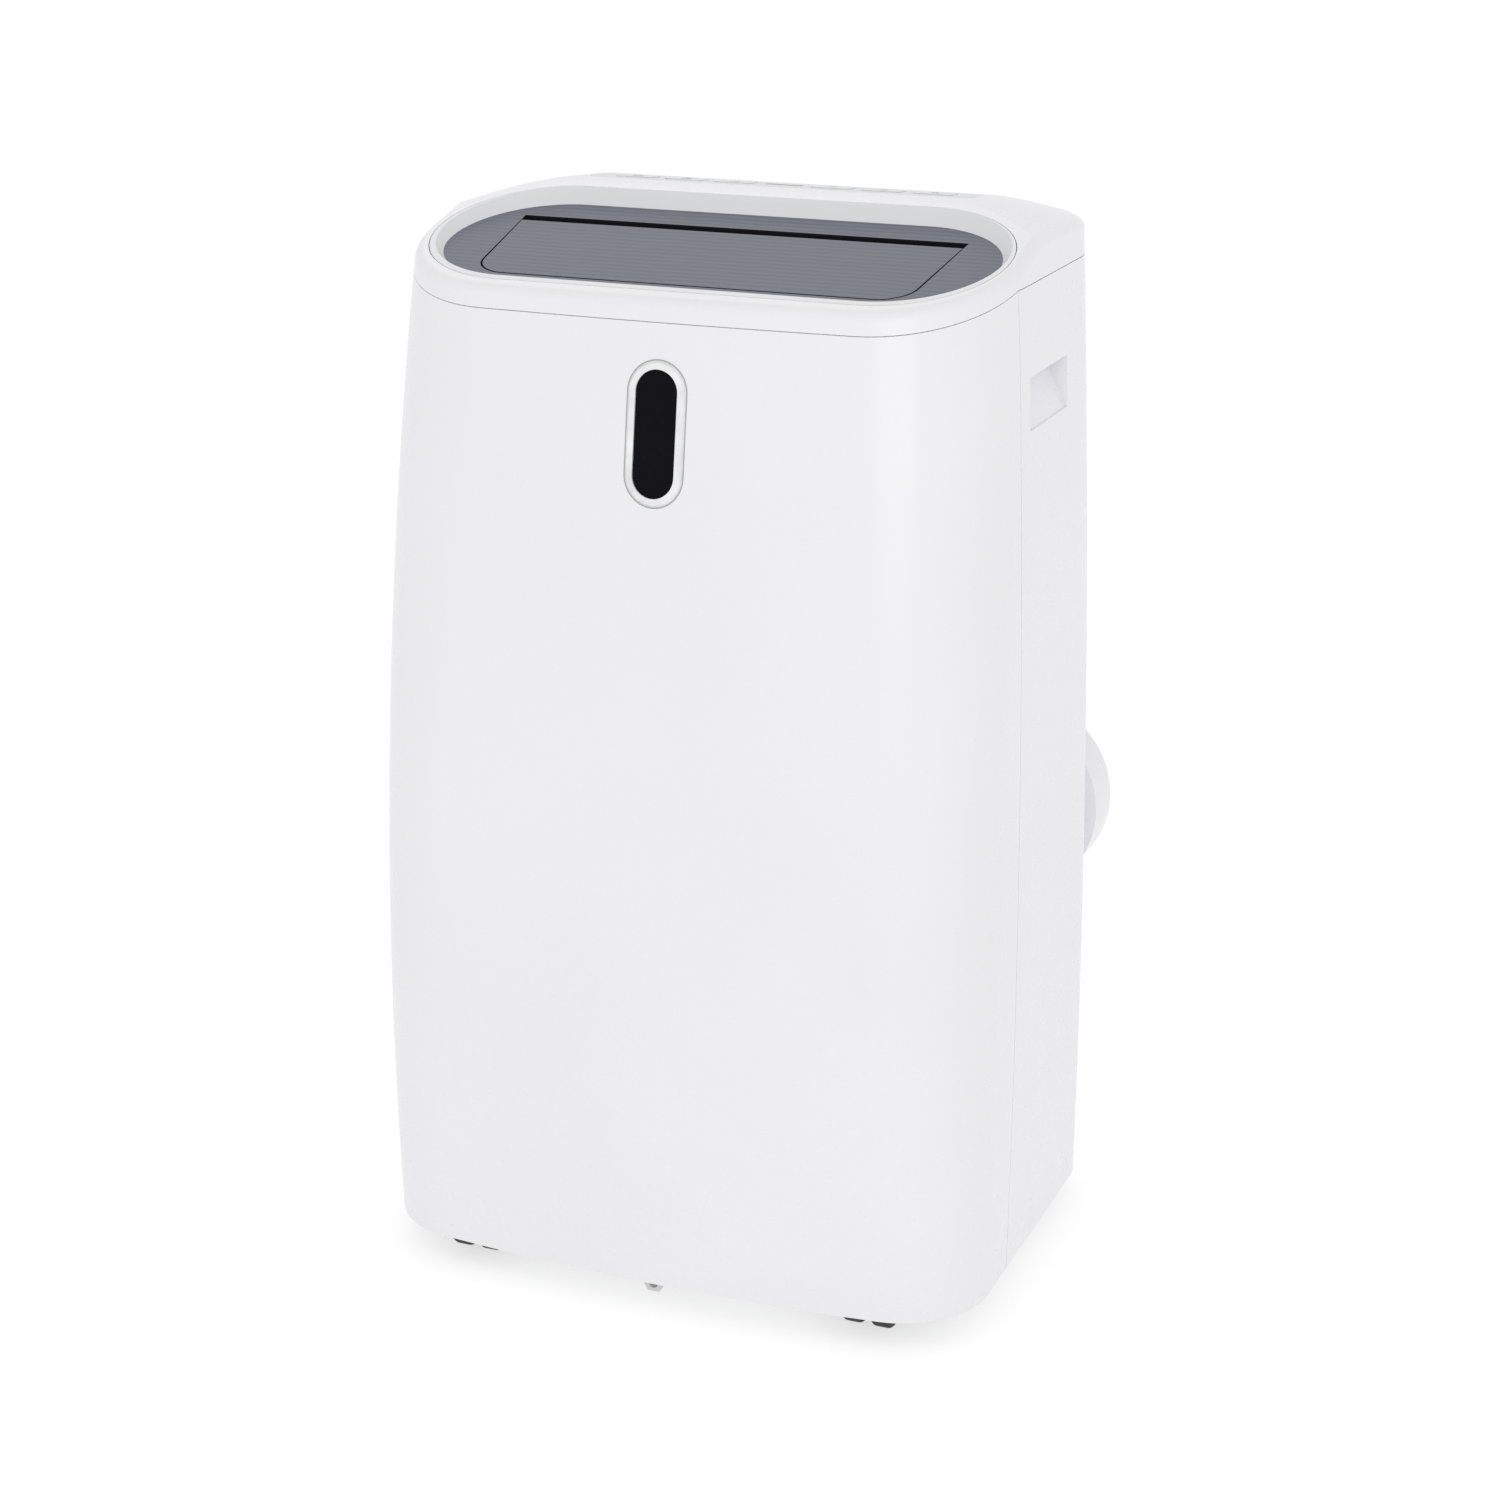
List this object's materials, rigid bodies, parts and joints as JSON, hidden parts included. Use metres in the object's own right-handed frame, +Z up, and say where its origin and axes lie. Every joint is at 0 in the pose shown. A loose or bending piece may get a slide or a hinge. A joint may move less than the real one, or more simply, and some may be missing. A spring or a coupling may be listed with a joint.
{
  "type": "portable air conditioner",
  "caption": "Upright white portable air conditioner and dehumidifier on casters: top air flap in an oval deck, front display, side grips, rear filter and exhaust hose collar.",
  "frame": {"origin": "centre of the overall box, on the floor under the casters", "axes": "+Z up, front towards -Y, exhaust collar towards +Y on the +X side"},
  "size_m": [0.46, 0.3899, 0.7652],
  "materials": {
    "cabinet_white": "satin white moulded plastic",
    "ring_white": "matt white moulded plastic",
    "deck_grey": "dark grey with a fine brushed line",
    "inner_dark": "black moulded plastic",
    "inner_white": "unpainted moulding",
    "bezel_silver": "satin plated ring",
    "lens_black": "polished black",
    "board_green": "solder mask",
    "control_grey": "pale grey",
    "button_grey": "pale grey",
    "base_grey": "grey moulding",
    "catch_grey": "light grey moulding",
    "coil_aluminium": "finned",
    "mesh_grey": "woven filter net",
    "compressor_black": "black paint",
    "rubber_black": "moulded rubber",
    "screw_steel": "zinc plated",
    "motor_steel": "plated steel",
    "pipe_copper": "bare copper",
    "box_grey": "grey moulding",
    "fan_grey": "grey moulding",
    "caster_black": "black moulding",
    "wheel_black": "black tread"
  },
  "bodies": {
    "cabinet": {"front_panel": "cabinet_white", "rear_housing": "cabinet_white", "top_cover": "cabinet_white", "recess_ring": "ring_white", "outlet_deck": "deck_grey", "flap_motor": "motor_steel", "outlet_throat": "inner_dark", "display_bezel": "bezel_silver", "display_lens": "lens_black", "display_board": "board_green", "control_plate": "control_grey", "indicator_window": "lens_black", "control_board": "board_green", "base_pan": "base_grey", "panel_catches": "catch_grey", "mid_tray": "base_grey", "evaporator_scroll": "inner_white", "condenser_scroll": "inner_white", "evaporator_coil": "coil_aluminium", "condenser_coil": "coil_aluminium", "lower_grille": "cabinet_white", "exhaust_frame": "cabinet_white", "exhaust_duct": "inner_white", "compressor": "compressor_black", "compressor_grommets": "rubber_black", "discharge_pipe": "pipe_copper", "suction_pipe": "pipe_copper", "control_box": "box_grey", "cord_inlet": "rubber_black", "fasteners": "screw_steel", "evaporator_motor": "motor_steel", "condenser_motor": "motor_steel"},
    "air_flap": {"air_flap": "deck_grey"},
    "filter": {"filter_frame": "cabinet_white", "filter_mesh": "mesh_grey"},
    "hose_collar": {"hose_collar": "cabinet_white"},
    "pan_drain_plug": {"pan_drain_plug": "rubber_black"},
    "tray_drain_plug": {"tray_drain_plug": "rubber_black"},
    "evaporator_fan": {"evaporator_fan": "fan_grey"},
    "condenser_fan": {"condenser_fan": "fan_grey"},
    "vane_tie_bar": {"vane_tie_bar": "inner_dark"},
    "vane_1": {"vane_1": "inner_dark"},
    "vane_2": {"vane_2": "inner_dark"},
    "vane_3": {"vane_3": "inner_dark"},
    "vane_4": {"vane_4": "inner_dark"},
    "vane_5": {"vane_5": "inner_dark"},
    "button_1": {"button_1": "button_grey"},
    "button_2": {"button_2": "button_grey"},
    "button_3": {"button_3": "button_grey"},
    "button_4": {"button_4": "button_grey"},
    "button_5": {"button_5": "button_grey"},
    "button_6": {"button_6": "button_grey"},
    "caster_fork_1": {"caster_fork_1": "caster_black"},
    "caster_wheels_1": {"caster_wheels_1": "wheel_black"},
    "caster_fork_2": {"caster_fork_2": "caster_black"},
    "caster_wheels_2": {"caster_wheels_2": "wheel_black"},
    "caster_fork_3": {"caster_fork_3": "caster_black"},
    "caster_wheels_3": {"caster_wheels_3": "wheel_black"},
    "caster_fork_4": {"caster_fork_4": "caster_black"},
    "caster_wheels_4": {"caster_wheels_4": "wheel_black"}
  },
  "joints": [
    {"name": "flap_hinge", "type": "hinge", "parent": "cabinet", "child": "air_flap", "pos_m": [0, -0.02487, 0.73379], "axis": [-1, 0, 0], "range_deg": [0, 70]},
    {"name": "filter_slide", "type": "slide", "parent": "cabinet", "child": "filter", "axis": [0, 1, 0], "range_m": [0, 0.06]},
    {"name": "collar_slide", "type": "slide", "parent": "cabinet", "child": "hose_collar", "axis": [0, 1, 0], "range_m": [0, 0.04]},
    {"name": "pan_plug_slide", "type": "slide", "parent": "cabinet", "child": "pan_drain_plug", "axis": [0, 1, 0], "range_m": [0, 0.02]},
    {"name": "tray_plug_slide", "type": "slide", "parent": "cabinet", "child": "tray_drain_plug", "axis": [0, 1, 0], "range_m": [0, 0.02]},
    {"name": "evaporator_fan_spin", "type": "hinge", "parent": "cabinet", "child": "evaporator_fan", "pos_m": [-0.088, -0.05, 0.513], "axis": [0, 1, 0], "continuous": true},
    {"name": "condenser_fan_spin", "type": "hinge", "parent": "cabinet", "child": "condenser_fan", "pos_m": [-0.07, 0.01, 0.158], "axis": [0, 1, 0], "continuous": true},
    {"name": "vane_1_turn", "type": "hinge", "parent": "cabinet", "child": "vane_1", "pos_m": [-0.112, -0.05197, 0.69826], "axis": [0, 0.9774, 0.2113], "range_deg": [-30, 30]},
    {"name": "vane_2_turn", "type": "hinge", "parent": "cabinet", "child": "vane_2", "pos_m": [-0.056, -0.05197, 0.69826], "axis": [0, 0.9774, 0.2113], "range_deg": [-30, 30]},
    {"name": "vane_3_turn", "type": "hinge", "parent": "cabinet", "child": "vane_3", "pos_m": [0, -0.05197, 0.69826], "axis": [0, 0.9774, 0.2113], "range_deg": [-30, 30]},
    {"name": "vane_4_turn", "type": "hinge", "parent": "cabinet", "child": "vane_4", "pos_m": [0.056, -0.05197, 0.69826], "axis": [0, 0.9774, 0.2113], "range_deg": [-30, 30]},
    {"name": "vane_5_turn", "type": "hinge", "parent": "cabinet", "child": "vane_5", "pos_m": [0.112, -0.05197, 0.69826], "axis": [0, 0.9774, 0.2113], "range_deg": [-30, 30]},
    {"name": "tie_bar_link", "type": "hinge", "parent": "vane_3", "child": "vane_tie_bar", "pos_m": [0, -0.05028, 0.69044], "axis": [0, 0.9774, 0.2113], "range_deg": [-30, 30]},
    {"name": "button_1_press", "type": "slide", "parent": "cabinet", "child": "button_1", "axis": [0, 0, -1], "range_m": [0, 0.001], "stiffness_N_per_m": 600},
    {"name": "button_2_press", "type": "slide", "parent": "cabinet", "child": "button_2", "axis": [0, 0, -1], "range_m": [0, 0.001], "stiffness_N_per_m": 600},
    {"name": "button_3_press", "type": "slide", "parent": "cabinet", "child": "button_3", "axis": [0, 0, -1], "range_m": [0, 0.001], "stiffness_N_per_m": 600},
    {"name": "button_4_press", "type": "slide", "parent": "cabinet", "child": "button_4", "axis": [0, 0, -1], "range_m": [0, 0.001], "stiffness_N_per_m": 600},
    {"name": "button_5_press", "type": "slide", "parent": "cabinet", "child": "button_5", "axis": [0, 0, -1], "range_m": [0, 0.001], "stiffness_N_per_m": 600},
    {"name": "button_6_press", "type": "slide", "parent": "cabinet", "child": "button_6", "axis": [0, 0, -1], "range_m": [0, 0.001], "stiffness_N_per_m": 600},
    {"name": "caster_1_swivel", "type": "hinge", "parent": "cabinet", "child": "caster_fork_1", "pos_m": [-0.154, -0.136, 0.05], "axis": [0, 0, 1], "continuous": true},
    {"name": "caster_1_roll", "type": "hinge", "parent": "caster_fork_1", "child": "caster_wheels_1", "pos_m": [-0.154, -0.148, 0.02], "axis": [1, 0, 0], "continuous": true},
    {"name": "caster_2_swivel", "type": "hinge", "parent": "cabinet", "child": "caster_fork_2", "pos_m": [0.154, -0.136, 0.05], "axis": [0, 0, 1], "continuous": true},
    {"name": "caster_2_roll", "type": "hinge", "parent": "caster_fork_2", "child": "caster_wheels_2", "pos_m": [0.154, -0.148, 0.02], "axis": [1, 0, 0], "continuous": true},
    {"name": "caster_3_swivel", "type": "hinge", "parent": "cabinet", "child": "caster_fork_3", "pos_m": [-0.154, 0.057, 0.05], "axis": [0, 0, 1], "continuous": true},
    {"name": "caster_3_roll", "type": "hinge", "parent": "caster_fork_3", "child": "caster_wheels_3", "pos_m": [-0.154, 0.069, 0.02], "axis": [1, 0, 0], "continuous": true},
    {"name": "caster_4_swivel", "type": "hinge", "parent": "cabinet", "child": "caster_fork_4", "pos_m": [0.154, 0.057, 0.05], "axis": [0, 0, 1], "continuous": true},
    {"name": "caster_4_roll", "type": "hinge", "parent": "caster_fork_4", "child": "caster_wheels_4", "pos_m": [0.154, 0.069, 0.02], "axis": [1, 0, 0], "continuous": true}
  ],
  "couplings": [
    {"joint": "vane_1_turn", "follows": "vane_3_turn", "ratio": 1},
    {"joint": "vane_2_turn", "follows": "vane_3_turn", "ratio": 1},
    {"joint": "vane_4_turn", "follows": "vane_3_turn", "ratio": 1},
    {"joint": "vane_5_turn", "follows": "vane_3_turn", "ratio": 1},
    {"joint": "tie_bar_link", "follows": "vane_3_turn", "ratio": -1}
  ]
}
